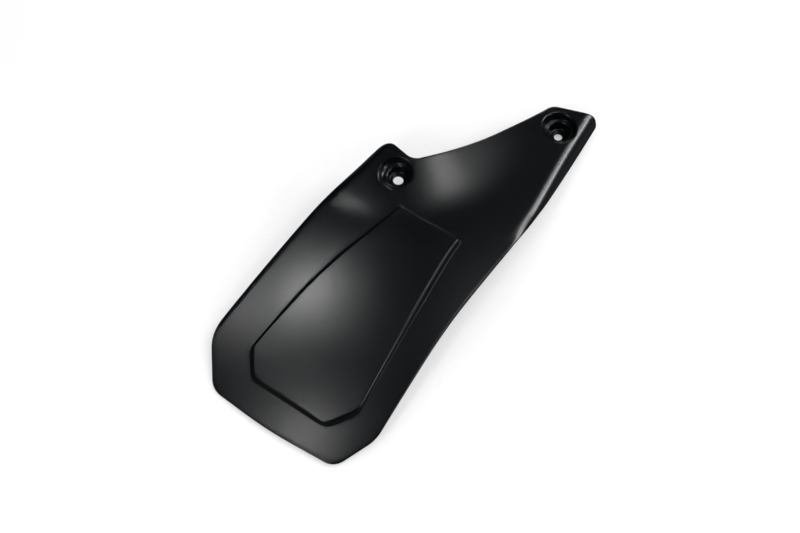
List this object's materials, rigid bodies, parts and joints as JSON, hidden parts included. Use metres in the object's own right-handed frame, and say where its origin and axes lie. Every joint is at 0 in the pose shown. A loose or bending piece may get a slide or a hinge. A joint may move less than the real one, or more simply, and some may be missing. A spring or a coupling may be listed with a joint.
{
  "type": "mud flap",
  "caption": "Bowed mud flap moulded in one sheet, with a raised panel and a side arm; recessed fixing cups with bores sit at the ear and at the arm's end.",
  "frame": {"origin": "axis of the lower bore on the back face of its floor, where the fixing's washer or the frame tab sits", "axes": "+Z out of the front face along both bores, +Y from the lower edge towards the end of the arm, +X towards the arm's rolled edge"},
  "size_m": [0.1527, 0.3593, 0.0407],
  "materials": {
    "flap": "black moulded polypropylene, satin"
  },
  "bodies": {
    "root": {"mud_flap": "flap"}
  },
  "joints": []
}
